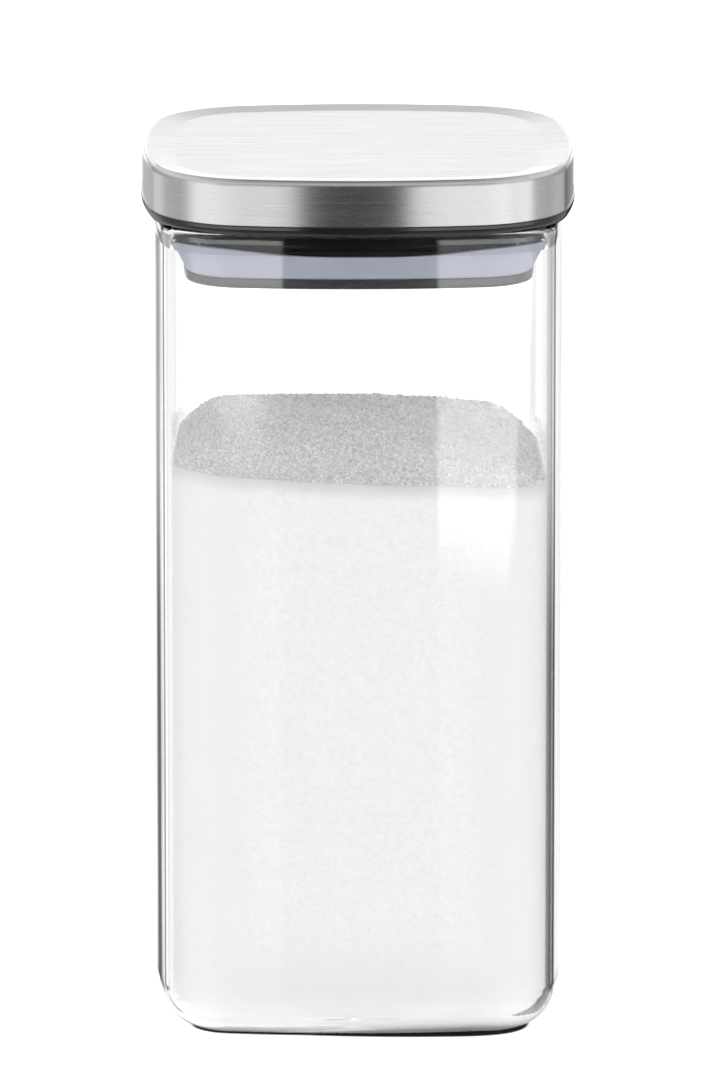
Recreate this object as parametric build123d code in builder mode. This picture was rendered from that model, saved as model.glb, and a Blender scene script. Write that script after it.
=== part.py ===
from build123d import *
import math
import os

# Storage jar: a tall square glass body with rounded corners, and a lift-off lid made
# of a drawn steel cover, a plastic carrier, a plug base and a flared sealing ring.
# Millimetres. +Z is up, z = 0 is the face the jar stands on, the front faces -Y.

# --- glass body ---------------------------------------------------------------
body_half = 50.0           # half width and half depth at the middle of each side
body_diag = 0.857          # 45 degree point of the outline, as a share of the half width
body_corner_r = 16.8       # radius of the rounded vertical corners
wall = 2.0                 # glass wall
base_t = 2.6               # glass base
heel_r = 10.0              # outside radius between wall and base
rim_z = 200.1              # top of the glass
bead_out = 0.4             # how far the rim bead stands proud of the wall
bead_from, bead_full = 195.1, 197.9   # where the bead starts and where it is full
punt_depth = 0.4           # shallow hollow under the base
punt_out, punt_in = 35.5, 30.5
punt_corner_r = 12.0

# --- lid ------------------------------------------------------------------------
lid_half = 52.7            # steel cover, half width at the middle of each side
lid_diag = 0.8156
lid_corner_r = 26.4
lid_top_z = 214.0          # raised border of the cover
panel_drop = 0.55          # the middle panel lies this far below the border
panel_in = 7.6             # from the cover's side to the edge of the panel
border_in = 1.6            # from the cover's side to the top of the border
edge_r = 1.5               # rounded edge between border and wall
steel_t = 0.5
steel_low_z = 202.9        # lower edge of the steel

ring_out = 0.3             # the plastic ring stands this far proud of the steel
seat_z = 200.25            # underside of the lid, just clear of the glass rim
ring_low_r = 1.7
flange_t = 1.9
shell_gap = 0.15           # glue gap between the carrier's wall and the steel
carrier_wall = 1.6
carrier_top_z = 212.7
rib_mid, rib_side = 43.3, 20.0   # stiffening ribs: centre from the middle, and to each side
rib_len, rib_t = 13.8, 1.4

# --- plug -------------------------------------------------------------------------
plug_half = 39.0           # plug skirt
plug_diag = 0.862
plug_corner_r = 11.9
skirt_t = 2.0
split_z = 195.0            # parting line between the carrier's skirt and the plug base
lip_half = 44.2            # lip that carries the sealing ring
lip_low_z, lip_top_z = 186.0, 188.5
lip_corner_r = 14.1
lip_r = 0.9
floor_t = 2.0
spigot_gap = 0.1           # the plug base slides into the carrier's skirt
spigot_t = 1.5
spigot_top_z = 198.5

# --- sealing ring -------------------------------------------------------------------
seal_clear = 0.25          # free edge to the glass, all round
seal_fit = 0.1             # ring to the plug wall
seal_foot_t = 1.6
seal_band_t = 1.3
seal_band_top_z = 192.1
fin_root_t = 1.3           # thickness of the fin at its root, measured across
fin_edge_t = 0.75
fin_mid_z = 194.8          # free edge at the middle of each side
fin_corner_z = 197.0       # free edge at the corners, where it is pressed up
fin_points = 96

os.makedirs("parts", exist_ok=True)


def bulged(half, diag, corner_r):
    """Centres and radii of a square outline with bowed sides: side radius, corner centre."""
    c = diag * half - corner_r / math.sqrt(2)
    side_r = (corner_r**2 - (c - half) ** 2 - c**2) / (2 * (c - half + corner_r))
    return half - side_r, side_r, c, corner_r


BODY = bulged(body_half, body_diag, body_corner_r)
LID = bulged(lid_half, lid_diag, lid_corner_r)
PLUG = bulged(plug_half, plug_diag, plug_corner_r)
LIP = bulged(lip_half, plug_diag, lip_corner_r)
PUNT = bulged(punt_out, plug_diag, punt_corner_r)


def arc_points(shape, grow=0.0):
    """Start, middle and end of the eight tangent arcs of an outline moved out by grow."""
    sc, side_r, c, corner_r = shape
    side_r, corner_r = side_r + grow, corner_r + grow
    phi = math.atan2(c, c - sc)
    out = []
    for q in range(4):
        t = q * math.pi / 2

        def turn(x, y):
            return (x * math.cos(t) - y * math.sin(t), x * math.sin(t) + y * math.cos(t))

        side = [turn(sc + side_r * math.cos(a), side_r * math.sin(a)) for a in (-phi, 0, phi)]
        corner = [
            turn(c + corner_r * math.cos(a), c + corner_r * math.sin(a))
            for a in (phi, math.pi / 4, math.pi / 2 - phi)
        ]
        out += [side, corner]
    return out


def outline(shape, grow=0.0, mode=Mode.ADD):
    """The outline as a face in the current sketch."""
    arcs = arc_points(shape, grow)
    with BuildLine() as line:
        for i, (a, m, _) in enumerate(arcs):
            ThreePointArc(a, m, arcs[(i + 1) % 8][0])
    make_face(line.edges(), mode=mode)


def reach(shape, grow, angle):
    """Distance from the centre to the outline in a direction."""
    sc, side_r, c, corner_r = shape
    side_r, corner_r = side_r + grow, corner_r + grow
    quarter = math.pi / 2
    a = (angle + quarter / 2) % quarter - quarter / 2
    u, v = math.cos(a), abs(math.sin(a))
    phi = math.atan2(c, c - sc)
    # try the side arc, then the corner arc
    b = u * sc
    r = b + math.sqrt(b * b - sc * sc + side_r * side_r)
    if math.atan2(r * v, r * u - sc) <= phi:
        return r
    b = (u + v) * c
    return b + math.sqrt(b * b - 2 * c * c + corner_r * corner_r)


# =============================== glass body ===========================================
with BuildPart() as jar_cavity:
    with BuildSketch(Plane.XY.offset(base_t)):
        outline(BODY, -wall)
    extrude(amount=rim_z + 5 - base_t)
    fillet(jar_cavity.edges().group_by(Axis.Z)[0], radius=heel_r - wall)

with BuildPart() as glass_body:
    with BuildSketch(Plane.XY):
        outline(BODY)
    extrude(amount=bead_from)
    with BuildSketch(Plane.XY.offset(bead_from)):
        outline(BODY)
    with BuildSketch(Plane.XY.offset(bead_full)):
        outline(BODY, bead_out)
    loft(ruled=True)
    with BuildSketch(Plane.XY.offset(bead_full)):
        outline(BODY, bead_out)
    extrude(amount=rim_z - bead_full)
    fillet(glass_body.edges().group_by(Axis.Z)[0], radius=heel_r)
    add(jar_cavity.part, mode=Mode.SUBTRACT)
    fillet(glass_body.edges().group_by(Axis.Z)[-1], radius=(wall + bead_out) / 2 - 0.05)
    with BuildSketch(Plane.XY):
        outline(PUNT)
    with BuildSketch(Plane.XY.offset(punt_depth)):
        outline(PUNT, punt_in - punt_out)
    loft(ruled=True, mode=Mode.SUBTRACT)
glass_body.part.label = "glass_body"

# =============================== steel cover ============================================
with BuildPart() as cover_core:
    with BuildSketch(Plane.XY.offset(steel_low_z - 2)):
        outline(LID, -steel_t)
    extrude(amount=lid_top_z - steel_t - steel_low_z + 2)
    fillet(cover_core.edges().group_by(Axis.Z)[-1], radius=edge_r - steel_t)
    with BuildSketch(Plane.XY.offset(lid_top_z - panel_drop - steel_t)):
        outline(LID, -panel_in)
    with BuildSketch(Plane.XY.offset(lid_top_z - steel_t)):
        outline(LID, -border_in)
    loft(ruled=True, mode=Mode.SUBTRACT)

with BuildPart() as steel_cover:
    with BuildSketch(Plane.XY.offset(steel_low_z)):
        outline(LID)
    extrude(amount=lid_top_z - steel_low_z)
    fillet(steel_cover.edges().group_by(Axis.Z)[-1], radius=edge_r)
    with BuildSketch(Plane.XY.offset(lid_top_z - panel_drop)):
        outline(LID, -panel_in)
    with BuildSketch(Plane.XY.offset(lid_top_z)):
        outline(LID, -border_in)
    loft(ruled=True, mode=Mode.SUBTRACT)
    add(cover_core.part, mode=Mode.SUBTRACT)
steel_cover.part.label = "steel_cover"

# =============================== lid carrier ============================================
carrier_in = -(steel_t + shell_gap)
with BuildPart() as lid_carrier:
    # flange with the ring that shows below the steel
    with BuildSketch(Plane.XY.offset(seat_z)):
        outline(LID, ring_out)
    extrude(amount=steel_low_z - seat_z)
    fillet(lid_carrier.edges().group_by(Axis.Z)[0], radius=ring_low_r)
    fillet(lid_carrier.edges().group_by(Axis.Z)[-1], radius=0.25)
    # wall inside the steel
    with BuildSketch(Plane.XY.offset(steel_low_z - 0.6)):
        outline(LID, carrier_in)
    extrude(amount=carrier_top_z - steel_low_z + 0.6)
    # pocket between that wall and the plug skirt
    with BuildSketch(Plane.XY.offset(seat_z + flange_t)):
        outline(LID, carrier_in - carrier_wall)
        outline(PLUG, mode=Mode.SUBTRACT)
    extrude(amount=lid_top_z - seat_z, mode=Mode.SUBTRACT)
    # ribs across the pocket, two on each side
    with BuildSketch(Plane.XY.offset(seat_z + flange_t)):
        with PolarLocations(0, 4):
            with Locations((rib_mid, -rib_side), (rib_mid, rib_side)):
                Rectangle(rib_len, rib_t)
    extrude(amount=carrier_top_z - 1.0 - seat_z - flange_t)
    # plug skirt
    with BuildSketch(Plane.XY.offset(split_z)):
        outline(PLUG)
    extrude(amount=carrier_top_z - split_z)
    with BuildSketch(Plane.XY.offset(split_z)):
        outline(PLUG, -skirt_t)
    extrude(amount=lid_top_z - split_z, mode=Mode.SUBTRACT)
lid_carrier.part.label = "lid_carrier"

# =============================== plug base ==============================================
with BuildPart() as plug_base:
    with BuildSketch(Plane.XY.offset(lip_low_z)):
        outline(LIP)
    extrude(amount=lip_top_z - lip_low_z)
    fillet(plug_base.edges().group_by(Axis.Z)[0], radius=lip_r)
    fillet(plug_base.edges().group_by(Axis.Z)[-1], radius=0.3)
    with BuildSketch(Plane.XY.offset(lip_top_z - 0.4)):
        outline(PLUG)
    extrude(amount=split_z - lip_top_z + 0.4)
    with BuildSketch(Plane.XY.offset(split_z - 3.0)):
        outline(PLUG, -skirt_t - spigot_gap)
    extrude(amount=spigot_top_z - split_z + 3.0)
    with BuildSketch(Plane.XY.offset(lip_low_z + floor_t)):
        outline(PLUG, -skirt_t - spigot_gap - spigot_t)
    extrude(amount=lid_top_z - lip_low_z, mode=Mode.SUBTRACT)
plug_base.part.label = "plug_base"

# =============================== sealing ring ===========================================
# The fin is ruled between closed curves: its free edge follows the inside of the glass
# and rises at the corners, its root follows the lip.
def fin_height(angle):
    """Height of the free edge above z = 0: level along each side, raised at the corners."""
    rise = (1 - math.cos(4 * angle)) / 2
    return fin_mid_z + (fin_corner_z - fin_mid_z) * rise**2


def closed_curve(point_at):
    return Edge.make_spline(
        [Vector(*point_at(2 * math.pi * i / fin_points)) for i in range(fin_points)],
        periodic=True,
    )


def on_lip(grow, z):
    def at(angle):
        r = reach(LIP, grow, angle)
        return (r * math.cos(angle), r * math.sin(angle), z)

    return closed_curve(at)


def on_glass(grow, drop):
    def at(angle):
        r = reach(BODY, -wall - seal_clear + grow, angle)
        return (r * math.cos(angle), r * math.sin(angle), fin_height(angle) - drop)

    return closed_curve(at)


root_out = on_lip(0.0, lip_top_z + 0.35)
root_in = on_lip(-fin_root_t - 0.6, lip_top_z + seal_foot_t - 0.3)
edge_out = on_glass(0.0, 0.25)
edge_in = on_glass(-fin_edge_t, 0.0)
fin_shell = Shell(
    [
        Face.make_surface_from_curves(root_out, edge_out),
        Face.make_surface_from_curves(edge_out, edge_in),
        Face.make_surface_from_curves(edge_in, root_in),
        Face.make_surface_from_curves(root_in, root_out),
    ]
)
fin = Solid(fin_shell)

with BuildPart() as silicone_seal:
    with BuildSketch(Plane.XY.offset(lip_top_z)):
        outline(LIP, -0.35)
    extrude(amount=seal_foot_t)
    with BuildSketch(Plane.XY.offset(lip_top_z)):
        outline(PLUG, seal_fit + seal_band_t)
    extrude(amount=seal_band_top_z - lip_top_z)
    with BuildSketch(Plane.XY.offset(lip_top_z)):
        outline(PLUG, seal_fit)
    extrude(amount=seal_band_top_z - lip_top_z, mode=Mode.SUBTRACT)
    add(fin)
silicone_seal.part.label = "silicone_seal"

export_step(glass_body.part, "parts/glass_body.step")
export_step(steel_cover.part, "parts/steel_cover.step")
export_step(lid_carrier.part, "parts/lid_carrier.step")
export_step(plug_base.part, "parts/plug_base.step")
export_step(silicone_seal.part, "parts/silicone_seal.step")

for piece in (glass_body, steel_cover, lid_carrier, plug_base, silicone_seal):
    box = piece.part.bounding_box()
    print(
        f"{piece.part.label}: solids {len(piece.part.solids())}, volume {piece.part.volume / 1000:.2f} cm3, "
        f"x {box.min.X:.2f}..{box.max.X:.2f}, z {box.min.Z:.2f}..{box.max.Z:.2f}, valid {piece.part.is_valid}"
    )
print(f"inside volume {jar_cavity.part.volume / 1000:.0f} cm3 to 5 mm above the rim")
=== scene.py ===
import bpy, bmesh, math, random
from mathutils import Vector, Matrix, noise


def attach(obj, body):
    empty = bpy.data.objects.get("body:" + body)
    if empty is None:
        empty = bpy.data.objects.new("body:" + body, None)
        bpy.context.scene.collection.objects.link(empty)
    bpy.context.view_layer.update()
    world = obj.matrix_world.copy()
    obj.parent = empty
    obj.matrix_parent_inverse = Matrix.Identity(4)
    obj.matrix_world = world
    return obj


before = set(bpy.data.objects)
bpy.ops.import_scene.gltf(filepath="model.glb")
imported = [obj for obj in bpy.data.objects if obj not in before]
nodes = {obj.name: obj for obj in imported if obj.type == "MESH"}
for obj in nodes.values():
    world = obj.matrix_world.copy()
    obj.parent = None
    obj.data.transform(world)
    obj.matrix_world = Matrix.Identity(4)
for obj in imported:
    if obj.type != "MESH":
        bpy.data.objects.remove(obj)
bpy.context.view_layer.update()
scene = bpy.context.scene

# ------------------------------------------------------------------------------------
# Camera: long lens, tilted down, no shift, a hair off the front.
# ------------------------------------------------------------------------------------
CAM_DIST, CAM_UP, CAM_SIDE = 3.0, 0.7735, 0.0004
CAM_TILT, CAM_YAW, CAM_LENS = math.radians(12.39), math.radians(0.57), 416.5
cam_data = bpy.data.cameras.new("camera")
cam_data.sensor_width = 36.0
cam_data.lens = CAM_LENS
cam_data.clip_start, cam_data.clip_end = 0.1, 100.0
cam = bpy.data.objects.new("camera", cam_data)
scene.collection.objects.link(cam)
cam.location = (
    CAM_SIDE * math.cos(CAM_YAW) - CAM_DIST * math.sin(CAM_YAW),
    -CAM_SIDE * math.sin(CAM_YAW) - CAM_DIST * math.cos(CAM_YAW),
    CAM_UP,
)
cam.rotation_euler = (math.pi / 2 - CAM_TILT, 0.0, -CAM_YAW)
scene.camera = cam

scene.view_settings.view_transform = "Standard"
scene.view_settings.look = "None"
scene.view_settings.exposure = 0.0
scene.view_settings.gamma = 1.0


# ------------------------------------------------------------------------------------
# Node helpers
# ------------------------------------------------------------------------------------
class Tree:
    """Short names for building a node tree."""

    def __init__(self, tree):
        self.tree = tree
        self.nodes = tree.nodes
        self.nodes.clear()

    def add(self, kind, **settings):
        n = self.nodes.new(kind)
        for key, value in settings.items():
            setattr(n, key, value)
        return n

    def put(self, socket, value):
        if isinstance(value, bpy.types.NodeSocket):
            self.tree.links.new(value, socket)
        elif value is not None:
            socket.default_value = value

    def math(self, op, a, b=None, c=None, clamp=False):
        n = self.add("ShaderNodeMath", operation=op, use_clamp=clamp)
        for s, v in zip(n.inputs, (a, b, c)):
            self.put(s, v)
        return n.outputs[0]

    def vec(self, op, a, b=None, scale=None):
        n = self.add("ShaderNodeVectorMath", operation=op)
        self.put(n.inputs[0], a)
        if b is not None:
            self.put(n.inputs[1], b)
        if scale is not None:
            self.put(n.inputs["Scale"], scale)
        return n.outputs["Value"] if op in ("DOT_PRODUCT", "LENGTH", "DISTANCE") else n.outputs[0]

    def mix(self, factor, a, b, kind="FLOAT", blend="MIX"):
        n = self.add("ShaderNodeMix", data_type=kind)
        if kind == "RGBA":
            n.blend_type = blend
        pick = {"FLOAT": 0, "VECTOR": 1, "RGBA": 2}[kind]
        ins = [s for s in n.inputs if s.name in ("A", "B")]
        outs = list(n.outputs)
        self.put(n.inputs[0], factor)
        self.put(ins[pick * 2], a)
        self.put(ins[pick * 2 + 1], b)
        return outs[pick]

    def smooth(self, value, low, high, to_low=0.0, to_high=1.0):
        n = self.add("ShaderNodeMapRange", interpolation_type="SMOOTHSTEP")
        self.put(n.inputs["Value"], value)
        n.inputs["From Min"].default_value = low
        n.inputs["From Max"].default_value = high
        n.inputs["To Min"].default_value = to_low
        n.inputs["To Max"].default_value = to_high
        return n.outputs["Result"]

    def linear(self, value, low, high, to_low=0.0, to_high=1.0):
        n = self.add("ShaderNodeMapRange", interpolation_type="LINEAR")
        self.put(n.inputs["Value"], value)
        n.inputs["From Min"].default_value = low
        n.inputs["From Max"].default_value = high
        n.inputs["To Min"].default_value = to_low
        n.inputs["To Max"].default_value = to_high
        return n.outputs["Result"]

    def noise(self, vector, scale, detail=2.0, rough=0.5, distortion=0.0):
        n = self.add("ShaderNodeTexNoise")
        self.put(n.inputs["Vector"], vector)
        n.inputs["Scale"].default_value = scale
        n.inputs["Detail"].default_value = detail
        n.inputs["Roughness"].default_value = rough
        n.inputs["Distortion"].default_value = distortion
        return n.outputs["Fac"]

    def stretch(self, vector, scale):
        n = self.add("ShaderNodeMapping", vector_type="POINT")
        self.put(n.inputs["Vector"], vector)
        n.inputs["Scale"].default_value = scale
        return n.outputs[0]

    def ramp(self, value, stops, interpolation="LINEAR"):
        n = self.add("ShaderNodeValToRGB")
        n.color_ramp.interpolation = interpolation
        el = n.color_ramp.elements
        while len(el) > 1:
            el.remove(el[-1])
        for i, (pos, v) in enumerate(stops):
            e = el[0] if i == 0 else el.new(pos)
            e.position = pos
            e.color = (v, v, v, 1.0) if isinstance(v, (int, float)) else (*v, 1.0)
        self.put(n.inputs["Fac"], value)
        return n.outputs["Color"]

    def bump(self, height, strength, distance, normal=None):
        n = self.add("ShaderNodeBump")
        n.inputs["Strength"].default_value = strength
        n.inputs["Distance"].default_value = distance
        self.put(n.inputs["Height"], height)
        if normal is not None:
            self.put(n.inputs["Normal"], normal)
        return n.outputs[0]


def material(name):
    m = bpy.data.materials.new(name)
    m.use_nodes = True
    t = Tree(m.node_tree)
    out = t.add("ShaderNodeOutputMaterial")
    return m, t, out


def principled(t, **values):
    n = t.add("ShaderNodeBsdfPrincipled")
    for key, value in values.items():
        t.put(n.inputs[key.replace("_", " ")], value)
    return n


def dress(obj, mat):
    obj.data.materials.clear()
    obj.data.materials.append(mat)


# ------------------------------------------------------------------------------------
# Studio: white room for everything that scatters and for what is seen through the glass;
# mirrors show two soft boxes, a dark gap between them and dimmer walls.
# ------------------------------------------------------------------------------------
ROOM = 1.60          # the white room, as diffuse surfaces and the camera see it
BOX = 2.2            # soft boxes


def wrap(angle):
    return ((angle + 180.0) % 360.0 - 180.0 + 180.0) / 360.0


def around(stops, default=None):
    """Ramp stops from (plan angle in degrees, value) pairs, closed at +-180 degrees."""
    pts = sorted((wrap(a), v) for a, v in stops)
    first, last = pts[0], pts[-1]
    span = first[0] + 1.0 - last[0]
    edge = last[1] + (first[1] - last[1]) * ((1.0 - last[0]) / span)
    return [(0.0, edge)] + [p for p in pts if 0.0 < p[0] < 1.0] + [(1.0, edge)]


world = bpy.data.worlds.new("studio")
scene.world = world
world.use_nodes = True
world.cycles.sampling_method = "NONE"
t = Tree(world.node_tree)
direction = t.add("ShaderNodeTexCoord").outputs["Generated"]
sep = t.add("ShaderNodeSeparateXYZ")
t.put(sep.inputs[0], direction)
plan = t.math("ARCTAN2", sep.outputs[1], sep.outputs[0])
plan = t.math("MULTIPLY_ADD", plan, 0.5 / math.pi, 0.5)           # 0..1 for -180..180 degrees
height = t.math("ARCSINE", sep.outputs[2])
height = t.math("MULTIPLY", height, 180.0 / math.pi)              # degrees above the horizon

# mirrors, below the horizon: what upright faces show (values are divided by BOX)
side = t.ramp(plan, around([
    (-98.6, 0.02), (-99.9, 0.14), (-112.0, 0.14), (-122.0, 0.18), (-140.0, 0.24), (-170.0, 0.26), (152.0, 0.26),
    (142.0, 0.42), (120.0, 0.52), (104.0, 0.55), (102.5, 0.2), (99.0, 0.2), (97.5, 0.52), (77.0, 0.5), (75.5, 0.32), (55.0, 0.31), (42.0, 0.27), (20.0, 0.2),
    (2.0, 0.26), (-27.0, 0.24), (-60.0, 0.14), (-79.0, 0.13), (-80.0, 0.03), (-90.0, 0.02),
]))
side = t.math("MULTIPLY", side, BOX)
deep = t.smooth(height, -44.0, -34.0, 2.0, 1.0)
side = t.math("MULTIPLY", side, deep)
# low down, a dark strip at either side of straight behind, which draws the outline of the heel
rim = t.ramp(plan, around([(90.5, 1.0), (92.0, 0.06), (103.0, 0.06), (104.5, 1.0), (180.0, 1.0), (76.0, 1.0), (77.5, 0.3), (86.0, 0.3), (88.0, 1.0)]))
rim = t.mix(t.smooth(height, -17.0, -23.0), 1.0, rim)
side = t.math("MULTIPLY", side, rim)
# mirrors, above the horizon: what the lid's top shows. Around the camera the boxes reach higher.
top = t.ramp(t.math("MULTIPLY", height, 1.0 / 90.0), [
    (0.0, 1.0), (0.10, 0.98), (0.165, 0.92), (0.205, 0.36), (0.30, 0.30), (0.42, 0.20), (0.6, 0.08), (1.0, 0.06),
])
level_part = t.math("SQRT", t.math("SUBTRACT", 1.0, t.math("MULTIPLY", sep.outputs[2], sep.outputs[2])))
behind = t.math("DIVIDE", sep.outputs[1], t.math("MAXIMUM", level_part, 0.001))
low_light = t.ramp(t.math("MULTIPLY", height, 1.0 / 90.0), [(0.0, 0.4), (0.13, 0.4), (0.22, 0.75), (0.33, 0.95), (0.55, 0.75), (1.0, 0.3)])
top = t.mix(t.smooth(behind, 0.93, 0.985), low_light, t.math("MULTIPLY", top, 2.15))     # brightest behind the jar
front = t.smooth(sep.outputs[1], -0.45, -0.75)
edge = t.math("MULTIPLY_ADD", front, 40.0, -8.0)
# brushed metal blurs what it mirrors. For it the room is dark at either side of straight behind, as
# the ends of the lid's wall show
path = t.add("ShaderNodeLightPath")
flags = t.ramp(plan, around([(-20.0, 0.5), (2.0, 0.62), (38.0, 0.65), (56.0, 0.45), (64.0, 0.05), (92.0, 0.05), (96.0, 0.2), (116.0, 0.25), (128.0, 0.5), (150.0, 0.56), (170.0, 0.5)]))
flags = t.math("MULTIPLY", flags, 2.0)
lines = t.ramp(plan, around([(20.0, 1.0), (34.0, 0.95), (42.0, 0.3), (76.0, 0.3), (77.2, 1.0), (98.0, 1.0), (98.8, 0.35), (102.7, 0.35), (103.5, 1.0), (180.0, 1.0)]))
lines = t.mix(t.smooth(height, -11.7, -13.0), 1.0, lines)      # the glass edges darken downwards
side = t.math("MULTIPLY", side, t.mix(path.outputs["Is Singular Ray"], flags, lines))
mirror = t.mix(t.smooth(t.math("SUBTRACT", height, edge), -2.0, 2.0), side, top)

# seen through the glass: a white wall, dimmer high above
BEHIND = 1.40
through = t.math("MULTIPLY", t.smooth(height, 42.0, 52.0, 1.0, 0.6), BEHIND)

straight = t.math("LESS_THAN", path.outputs["Glossy Depth"], 0.5)   # no mirror on the way
bent = t.math("MULTIPLY", path.outputs["Is Transmission Ray"], straight)
seen = t.mix(bent, mirror, through)
first = t.math("LESS_THAN", path.outputs["Diffuse Depth"], 0.5)
special = t.math("MULTIPLY", path.outputs["Is Glossy Ray"], first)
indoors = t.math("MULTIPLY", path.outputs["Is Transmission Ray"], t.math("SUBTRACT", 1.0, first))
level = t.mix(special, t.mix(indoors, ROOM, ROOM * 1.3), seen)
back = t.add("ShaderNodeBackground")
t.put(back.inputs["Strength"], level)
back.inputs["Color"].default_value = (1, 1, 1, 1)
out = t.add("ShaderNodeOutputWorld")
t.put(out.inputs["Surface"], back.outputs[0])

# pale floor
mesh = bpy.data.meshes.new("floor")
bm = bmesh.new()
bmesh.ops.create_grid(bm, x_segments=2, y_segments=2, size=30.0)
bm.to_mesh(mesh)
bm.free()
floor = bpy.data.objects.new("floor", mesh)
scene.collection.objects.link(floor)
m, t, out = material("floor_paper")
grain = t.noise(t.add("ShaderNodeTexCoord").outputs["Object"], 900.0, 3.0)
bsdf = principled(t, Base_Color=t.ramp(grain, [(0.3, (0.93, 0.93, 0.93)), (0.7, (0.95, 0.95, 0.95))]), Roughness=0.9)
bsdf.inputs["Specular IOR Level"].default_value = 0.0
bsdf.inputs["Emission Color"].default_value = (1, 1, 1, 1)
bsdf.inputs["Emission Strength"].default_value = 0.25
t.put(out.inputs["Surface"], bsdf.outputs[0])
dress(floor, m)
floor.visible_glossy = False
floor.visible_transmission = False

# ------------------------------------------------------------------------------------
# Materials
# ------------------------------------------------------------------------------------
def make_glass():
    m, t, out = material("clear_glass")
    place = t.add("ShaderNodeTexCoord").outputs["Object"]
    wave = t.noise(t.stretch(place, (1.0, 1.0, 0.35)), 28.0, 1.0)
    normal = t.bump(wave, 0.25, 0.0002)
    bsdf = principled(
        t, Base_Color=(0.99, 0.99, 0.994, 1), Roughness=0.0, IOR=1.5, Transmission_Weight=1.0, Normal=normal
    )
    clear = t.add("ShaderNodeBsdfTransparent")
    clear.inputs["Color"].default_value = (0.93, 0.94, 0.94, 1)
    blend = t.add("ShaderNodeMixShader")
    t.put(blend.inputs[0], t.add("ShaderNodeLightPath").outputs["Is Shadow Ray"])
    t.put(blend.inputs[1], bsdf.outputs[0])
    t.put(blend.inputs[2], clear.outputs[0])
    t.put(out.inputs["Surface"], blend.outputs[0])
    return m


def make_steel():
    m, t, out = material("brushed_steel")
    place = t.add("ShaderNodeTexCoord").outputs["Object"]
    normal = t.add("ShaderNodeNewGeometry").outputs["Normal"]
    nsep = t.add("ShaderNodeSeparateXYZ")
    t.put(nsep.inputs[0], normal)
    is_top = t.smooth(nsep.outputs[2], 0.55, 0.8)
    tangent = t.mix(is_top, (0.0, 0.0, 1.0), (0.0, 1.0, 0.0), kind="VECTOR")   # across the brush lines
    # brush lines: along x on the top, level on the wall
    lines_top = t.noise(t.stretch(place, (10.0, 1500.0, 40.0)), 1.0, 3.0, 0.6)
    lines_top2 = t.noise(t.stretch(place, (60.0, 4200.0, 40.0)), 1.0, 2.0, 0.6)
    lines_wall = t.noise(t.stretch(place, (14.0, 14.0, 1700.0)), 1.0, 3.0, 0.65)
    lines_wall2 = t.noise(t.stretch(place, (50.0, 50.0, 5200.0)), 1.0, 2.0, 0.6)
    coarse = t.mix(is_top, lines_wall, lines_top)
    fine = t.mix(is_top, lines_wall2, lines_top2)
    both = t.math("ADD", t.math("MULTIPLY", coarse, 0.6), t.math("MULTIPLY", fine, 0.4))
    cloud = t.noise(place, 22.0, 3.0)
    tone = t.math("ADD", t.math("MULTIPLY", both, 0.8), t.math("MULTIPLY", cloud, 0.2))
    bands = t.noise(t.stretch(place, (75.0, 900.0, 40.0)), 1.0, 3.0, 0.65)
    bands = t.math("MULTIPLY", t.math("SUBTRACT", bands, 0.5), t.math("MULTIPLY", is_top, 0.62))
    tone = t.math("ADD", tone, bands)
    colour = t.ramp(tone, [(0.36, (0.655, 0.65, 0.655)), (0.5, (0.70, 0.695, 0.70)), (0.64, (0.745, 0.74, 0.745))])
    rough = t.linear(both, 0.3, 0.7, 0.23, 0.29)
    rough = t.math("MULTIPLY", rough, t.mix(is_top, 1.0, 0.8))
    bump = t.bump(both, 0.12, 0.00004)
    bsdf = principled(
        t, Base_Color=colour, Metallic=1.0, Roughness=rough, Anisotropic=0.95, Tangent=tangent, Normal=bump
    )
    t.put(out.inputs["Surface"], bsdf.outputs[0])
    return m


def make_plastic(name, base, rough_low, rough_high):
    m, t, out = material(name)
    place = t.add("ShaderNodeTexCoord").outputs["Object"]
    texture = t.noise(place, 2600.0, 3.0, 0.6)
    cloud = t.noise(place, 35.0, 3.0)
    colour = t.ramp(cloud, [(0.35, base), (0.65, tuple(c * 1.35 for c in base))])
    rough = t.linear(t.math("ADD", t.math("MULTIPLY", texture, 0.6), t.math("MULTIPLY", cloud, 0.4)), 0.35, 0.65, rough_low, rough_high)
    bsdf = principled(t, Base_Color=colour, Roughness=rough, IOR=1.49, Normal=t.bump(texture, 0.12, 0.00005))
    t.put(out.inputs["Surface"], bsdf.outputs[0])
    return m


def make_silicone():
    m, t, out = material("silicone")
    place = t.add("ShaderNodeTexCoord").outputs["Object"]
    texture = t.noise(place, 1800.0, 3.0, 0.6)
    cloud = t.noise(place, 60.0, 3.0)
    colour = t.ramp(cloud, [(0.3, (0.375, 0.40, 0.48)), (0.7, (0.42, 0.445, 0.525))])
    rough = t.linear(texture, 0.35, 0.65, 0.36, 0.52)
    bsdf = principled(
        t, Base_Color=colour, Roughness=rough, IOR=1.41, Normal=t.bump(texture, 0.15, 0.00006),
        Subsurface_Weight=0.6, Subsurface_Scale=0.002,
    )
    bsdf.inputs["Subsurface Radius"].default_value = (1.0, 1.0, 1.0)
    t.put(out.inputs["Surface"], bsdf.outputs[0])
    return m


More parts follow.
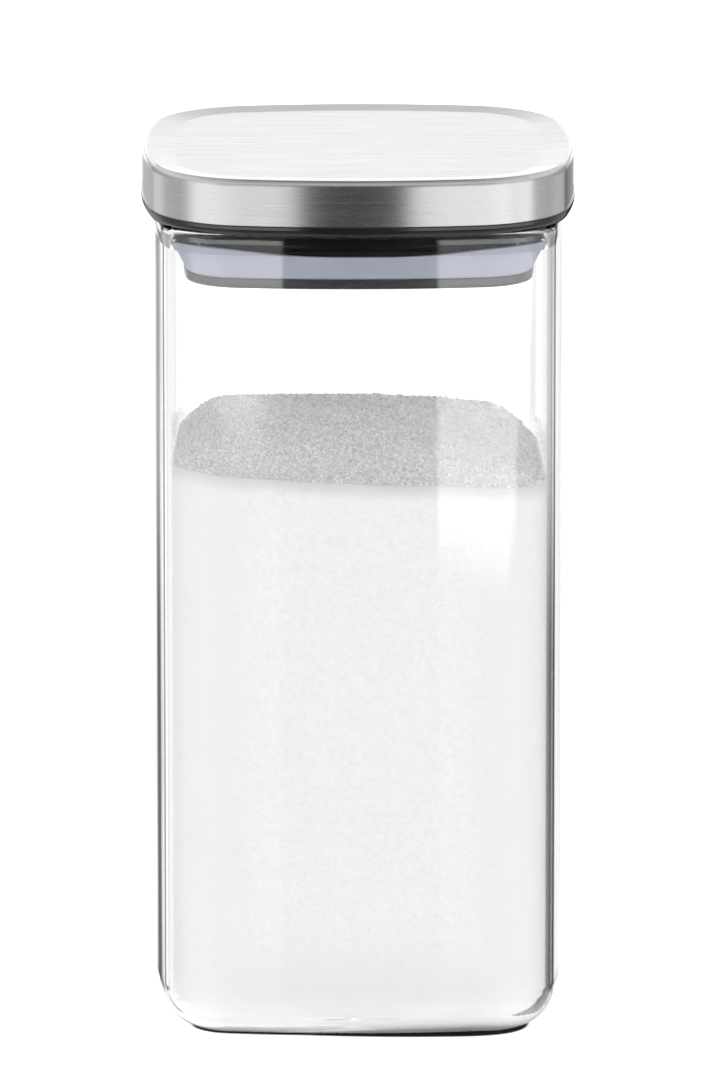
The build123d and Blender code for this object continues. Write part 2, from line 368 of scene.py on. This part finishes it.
def make_sugar():
    m, t, out = material("sugar_crystals")
    place = t.add("ShaderNodeTexCoord").outputs["Object"]
    normal = t.add("ShaderNodeNewGeometry").outputs["True Normal"]
    up = t.add("ShaderNodeSeparateXYZ")
    t.put(up.inputs[0], normal)
    is_top = t.smooth(up.outputs[2], 0.35, 0.7)
    cell = t.add("ShaderNodeTexVoronoi", feature="F1")
    t.put(cell.inputs["Vector"], place)
    cell.inputs["Scale"].default_value = 1450.0
    tone = t.add("ShaderNodeSeparateColor")
    t.put(tone.inputs[0], cell.outputs["Color"])
    fine = t.noise(place, 2400.0, 2.0, 0.6)
    cloud = t.noise(place, 45.0, 4.0, 0.6)
    speck = t.math("ADD", t.math("MULTIPLY", tone.outputs[0], 0.6), t.math("ADD", t.math("MULTIPLY", fine, 0.3), t.math("MULTIPLY", cloud, 0.1)))
    front = t.ramp(speck, [(0.2, (0.85, 0.848, 0.86)), (0.5, (0.88, 0.878, 0.89)), (0.8, (0.91, 0.908, 0.92))])
    # painted shade: the front colour is darkened towards the corners and towards the bottom
    spot = t.add("ShaderNodeSeparateXYZ")
    t.put(spot.inputs[0], place)
    corner = t.math("MINIMUM", t.math("ABSOLUTE", spot.outputs[0]), t.math("ABSOLUTE", spot.outputs[1]))
    painted_corner_shade = t.math("MAXIMUM", t.smooth(corner, 0.020, 0.042), t.smooth(spot.outputs[2], 0.032, 0.006))
    front = t.mix(t.math("MULTIPLY", painted_corner_shade, 0.8), front, (0.80, 0.798, 0.81, 1), kind="RGBA")    # painted shade: the front is darker towards the corners and the bottom
    # painted light: the top faces get a lighter colour than the front, standing in for light on the top
    lightened_top = t.ramp(speck, [(0.25, (0.88, 0.87, 0.89)), (0.5, (0.95, 0.94, 0.96)), (0.72, (1.0, 0.99, 1.0))])
    # painted shade: the sides are coloured darker grey just below the sugar's top, fading downwards over about 4.5 mm
    # with a ragged edge
    deep = t.add("ShaderNodeAttribute", attribute_name="deep").outputs["Fac"]
    ragged = t.math("ADD", deep, t.math("MULTIPLY", t.math("SUBTRACT", t.noise(place, 260.0, 3.0), 0.5), 0.35))
    colour = t.mix(t.smooth(ragged, 0.0, 1.0, 1.0, 0.0), front, (0.68, 0.675, 0.69, 1), kind="RGBA")
    colour = t.mix(is_top, colour, lightened_top, kind="RGBA")
    grain = t.add("ShaderNodeAttribute", attribute_name="grain").outputs["Fac"]
    loose = t.ramp(grain, [(0.2, (0.76, 0.75, 0.77)), (0.6, (0.95, 0.94, 0.96)), (0.85, (1, 1, 1)), (0.93, (1, 1, 1))])
    colour = t.mix(t.math("GREATER_THAN", grain, 0.1), colour, loose, kind="RGBA")
    bump = t.bump(cell.outputs["Distance"], 0.3, 0.00015)
    bsdf = principled(t, Base_Color=colour, Roughness=0.42, IOR=1.5, Normal=bump)
    t.put(out.inputs["Surface"], bsdf.outputs[0])
    return m


GLASS, STEEL = make_glass(), make_steel()
PLASTIC = make_plastic("black_plastic", (0.006, 0.006, 0.0066), 0.07, 0.14)
BASE_PLASTIC = make_plastic("plug_plastic", (0.034, 0.034, 0.036), 0.16, 0.26)
SILICONE, SUGAR = make_silicone(), make_sugar()
dress(nodes["glass_body"], GLASS)
dress(nodes["steel_cover"], STEEL)
dress(nodes["lid_carrier"], PLASTIC)
dress(nodes["plug_base"], BASE_PLASTIC)
dress(nodes["silicone_seal"], SILICONE)


# ------------------------------------------------------------------------------------
# Outline shared with the CAD: a square with bowed sides and round corners, in metres
# ------------------------------------------------------------------------------------
def bulged(half, diag, corner_r):
    c = diag * half - corner_r / math.sqrt(2)
    side_r = (corner_r**2 - (c - half) ** 2 - c**2) / (2 * (c - half + corner_r))
    return half - side_r, side_r, c, corner_r


def reach(shape, grow, angle):
    """Distance from the centre to the outline in a direction."""
    sc, side_r, c, corner_r = shape
    side_r, corner_r = side_r + grow, corner_r + grow
    quarter = math.pi / 2
    a = (angle + quarter / 2) % quarter - quarter / 2
    u, v = math.cos(a), abs(math.sin(a))
    phi = math.atan2(c, c - sc)
    b = u * sc
    r = b + math.sqrt(b * b - sc * sc + side_r * side_r)
    if math.atan2(r * v, r * u - sc) <= phi:
        return r
    b = (u + v) * c
    return b + math.sqrt(b * b - 2 * c * c + corner_r * corner_r)


BODY = bulged(0.050, 0.857, 0.0168)
WALL, BASE_T, HEEL = 0.002, 0.0026, 0.010


def mesh_object(name, verts, faces, smooth=True):
    mesh = bpy.data.meshes.new(name)
    mesh.from_pydata(verts, [], faces)
    mesh.update()
    obj = bpy.data.objects.new(name, mesh)
    scene.collection.objects.link(obj)
    if smooth:
        mesh.polygons.foreach_set("use_smooth", [True] * len(mesh.polygons))
    return obj


# ------------------------------------------------------------------------------------
# Two curved soft boxes beside the camera. Only mirrors show them, and they fade downwards.
# ------------------------------------------------------------------------------------
def make_box_light(name, from_deg, to_deg, strength, foot, radius=1.0, low=-0.15, high=0.24):
    """foot: how far down the box reaches, as (plan angle, height) pairs."""
    n, rows = 64, 24
    verts, faces = [], []
    for j in range(rows + 1):
        z = low + (high - low) * j / rows
        for i in range(n + 1):
            a = math.radians(from_deg + (to_deg - from_deg) * i / n)
            verts.append((radius * math.cos(a), radius * math.sin(a), z))
    for j in range(rows):
        for i in range(n):
            k = j * (n + 1) + i
            faces.append((k, k + 1, k + n + 2, k + n + 1))
    obj = mesh_object(name, verts, faces)
    m, t, out = material(name)
    place = t.add("ShaderNodeTexCoord").outputs["Object"]
    s = t.add("ShaderNodeSeparateXYZ")
    t.put(s.inputs[0], place)
    angle = t.math("MULTIPLY", t.math("ARCTAN2", s.outputs[1], s.outputs[0]), 180.0 / math.pi)
    lo_a, hi_a = min(from_deg, to_deg), max(from_deg, to_deg)
    share = t.linear(angle, lo_a, hi_a)
    bottom = t.ramp(share, [((a - lo_a) / (hi_a - lo_a), (z - low) / (high - low)) for a, z in foot], "EASE")
    bottom = t.math("MULTIPLY_ADD", bottom, high - low, low)
    above = t.smooth(t.math("SUBTRACT", s.outputs[2], bottom), 0.0, 0.035)
    fade = t.math("MULTIPLY", above, t.smooth(s.outputs[2], high, high * 0.4))
    path = t.add("ShaderNodeLightPath")
    lean = t.math("MULTIPLY", path.outputs["Is Singular Ray"], LEAN[name])  # the clear glass mirrors a slightly narrower box
    shifted = t.math("SUBTRACT", angle, lean)
    ends = t.math("MULTIPLY", t.smooth(shifted, lo_a, lo_a + EDGE[name][0]), t.smooth(shifted, hi_a, hi_a - EDGE[name][1]))
    cover = t.math("MULTIPLY", fade, ends)
    mirrored = t.math("GREATER_THAN", path.outputs["Glossy Depth"], 0.5)
    cover = t.math("MULTIPLY", cover, mirrored)
    glow = t.add("ShaderNodeEmission")
    glow.inputs["Strength"].default_value = strength
    clear = t.add("ShaderNodeBsdfTransparent")
    blend = t.add("ShaderNodeMixShader")
    t.put(blend.inputs[0], cover)
    t.put(blend.inputs[1], clear.outputs[0])
    t.put(blend.inputs[2], glow.outputs[0])
    t.put(out.inputs["Surface"], blend.outputs[0])
    m.cycles.emission_sampling = "NONE"
    dress(obj, m)
    obj.visible_camera = obj.visible_diffuse = obj.visible_shadow = False
    return obj


LEAN = {"soft_box_left": 0.0, "soft_box_right": 2.3}
EDGE = {"soft_box_left": (25.0, 0.8), "soft_box_right": (0.8, 14.0)}      # how softly the ends fade, in degrees
make_box_light("soft_box_left", -178.0, -99.3, 2.4,
               [(-178.0, -0.03), (-140.0, -0.04), (-108.0, -0.056), (-104.3, -0.066), (-99.3, -0.04)])
make_box_light("soft_box_right", -81.8, -2.0, 2.4,
               [(-81.8, -0.08), (-78.0, -0.100), (-72.0, -0.108), (-55.0, -0.108), (-42.0, -0.095), (-32.0, -0.04), (-2.0, -0.03)])


# ------------------------------------------------------------------------------------
# Painted contact shadow: a dark ring laid on the floor where the jar's rounded heel meets it
# ------------------------------------------------------------------------------------
def make_contact():
    n, rings = 180, 6
    verts, faces = [], []
    for j in range(rings + 1):
        for i in range(n):
            a = 2 * math.pi * i / n
            outer = -0.0049 + 0.0038 * max(-0.3, min(math.cos(a), 0.5))
            turn = math.degrees(math.atan2(math.sin(a), math.cos(a)))
            outer -= 0.0038 * min(1.0, max(0.0, (turn + 56.0) / 26.0)) * min(1.0, max(0.0, (100.0 - turn) / 20.0))
            r = reach(BODY, -0.0125 + (outer + 0.0125) * j / rings, a)
            verts.append((r * math.cos(a), r * math.sin(a), 0.00003))
    for j in range(rings):
        for i in range(n):
            k, l = j * n + i, j * n + (i + 1) % n
            faces.append((k, l, l + n, k + n))
    obj = mesh_object("contact_shade", verts, faces)
    inner = obj.data.attributes.new("share", "FLOAT", "POINT")
    inner.data.foreach_set("value", [j / rings for j in range(rings + 1) for _ in range(n)])
    m, t, out = material("contact_shade")
    share = t.add("ShaderNodeAttribute", attribute_name="share").outputs["Fac"]
    cover = t.smooth(share, 0.99, 0.84, 0.0, 0.985)
    dark = t.add("ShaderNodeBsdfDiffuse")
    dark.inputs["Color"].default_value = (0.004, 0.004, 0.004, 1)
    clear = t.add("ShaderNodeBsdfTransparent")
    blend = t.add("ShaderNodeMixShader")
    t.put(blend.inputs[0], cover)
    t.put(blend.inputs[1], clear.outputs[0])
    t.put(blend.inputs[2], dark.outputs[0])
    t.put(out.inputs["Surface"], blend.outputs[0])
    dress(obj, m)
    obj.visible_diffuse = obj.visible_shadow = False


make_contact()

# ------------------------------------------------------------------------------------
# Sugar: fills the jar to about two thirds, heaped a little higher at the left and back
# ------------------------------------------------------------------------------------
def make_contents():
    random.seed(7)
    gap, touch = 0.00025, -0.0001     # the grains stand just clear of the wall and touch the base
    around_n, rings, rows = 240, 60, 50
    angles = [2 * math.pi * i / around_n for i in range(around_n)]
    full = [reach(BODY, -WALL - gap, a) for a in angles]
    tight = [reach(BODY, -WALL - touch, a) for a in angles]
    heel = HEEL - WALL - touch
    low = BASE_T + touch

    def level(x, y):
        u, v = x / 0.048, y / 0.048
        near, far = 0.1385 - 0.0025 * u + 0.0005 * u * u, 0.1415 - 0.0015 * u - 0.0007 * u * u
        z = near + (far - near) * (v + 1) / 2
        a, b = max(abs(x) - 0.030, 0.0) * 1000, max(y - 0.010, 0.0) * 1000     # it falls off at the back corners
        z -= 0.0040 * a * a * b / 6210
        z += 0.0006 * noise.noise(Vector((x * 26, y * 26, 3.1)))
        z += 0.0004 * noise.noise(Vector((x * 90, y * 90, 7.7)))
        return z

    verts, faces = [(0, 0, low)], []
    profile = []                      # (share of the radius, height or None, how far in, share of the wall)
    for k in range(1, 7):
        profile.append(("base", k / 7))
    for k in range(9):
        profile.append(("heel", math.pi / 2 * k / 8))
    for k in range(1, rows + 1):
        profile.append(("wall", 1.0 - (1.0 - k / rows) ** 1.6))
    for kind, value in profile:
        for i, a in enumerate(angles):
            if kind == "base":
                r, z = (tight[i] - heel) * value, low
            elif kind == "heel":
                share = min(1.0, max(0.0, (value - 0.7) / 0.5))
                r = tight[i] + (full[i] - tight[i]) * share - heel * (1 - math.sin(value))
                z = low + heel * (1 - math.cos(value))
            else:
                r = full[i]
                z = low + heel
                z += (level(r * math.cos(a), r * math.sin(a)) - z) * value
            verts.append((r * math.cos(a), r * math.sin(a), z))
    for i in range(around_n):
        faces.append((0, 1 + (i + 1) % around_n, 1 + i))
    for j in range(len(profile) - 1):
        b0, b1 = 1 + j * around_n, 1 + (j + 1) * around_n
        for i in range(around_n):
            i2 = (i + 1) % around_n
            faces.append((b0 + i, b0 + i2, b1 + i2, b1 + i))
    # top: rings inwards
    prev = 1 + (len(profile) - 1) * around_n
    for k in range(1, rings):
        share = 1 - k / rings
        base = len(verts)
        for i, a in enumerate(angles):
            r = full[i] * share
            x, y = r * math.cos(a), r * math.sin(a)
            bump = 0.00018 * noise.noise(Vector((x * 900, y * 900, 0.5)))
            verts.append((x, y, level(x, y) + bump * min(1.0, k / 3)))
        for i in range(around_n):
            i2 = (i + 1) % around_n
            faces.append((prev + i, prev + i2, base + i2, base + i))
        prev = base
    verts.append((0, 0, level(0, 0)))
    for i in range(around_n):
        faces.append((prev + i, prev + (i + 1) % around_n, len(verts) - 1))
    # depth below the top surface, which the sugar material uses to paint shade just under the top
    deep = [min(1.0, max(0.0, (level(x, y) - z) / 0.0045)) for x, y, z in verts]
    grain = [0.0] * len(verts)
    n_smooth = len(faces)
    # loose crystals on the top
    box = [(x, y, z) for x in (-1, 1) for y in (-1, 1) for z in (-1, 1)]
    sides = [(0, 1, 3, 2), (4, 6, 7, 5), (0, 4, 5, 1), (2, 3, 7, 6), (0, 2, 6, 4), (1, 5, 7, 3)]
    count = 0
    while count < 8500:
        x, y = random.uniform(-0.05, 0.05), random.uniform(-0.05, 0.05)
        if math.hypot(x, y) > reach(BODY, -WALL - 0.0007, math.atan2(y, x)):
            continue
        count += 1
        size = random.uniform(0.00016, 0.00030)
        turn = Matrix.Rotation(random.uniform(0, 6.283), 3, "Z") @ Matrix.Rotation(random.uniform(-0.9, 0.9), 3, "X") @ Matrix.Rotation(random.uniform(-0.9, 0.9), 3, "Y")
        middle = Vector((x, y, level(x, y) + size * random.uniform(0.0, 0.7)))
        tint = random.uniform(0.2, 1.0)
        base = len(verts)
        for cx, cy, cz in box:
            verts.append(tuple(middle + turn @ Vector((cx * size, cy * size * 0.8, cz * size * 1.15))))
            deep.append(0.0)
            grain.append(tint)
        faces.extend(tuple(base + i for i in f) for f in sides)
    obj = mesh_object("sugar_contents", verts, faces)
    obj.data.polygons.foreach_set("use_smooth", [i < n_smooth for i in range(len(faces))])
    for name, values in (("deep", deep), ("grain", grain)):
        layer = obj.data.attributes.new(name, "FLOAT", "POINT")
        layer.data.foreach_set("value", values)
    return obj


sugar = make_contents()
dress(sugar, SUGAR)
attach(sugar, "jar")
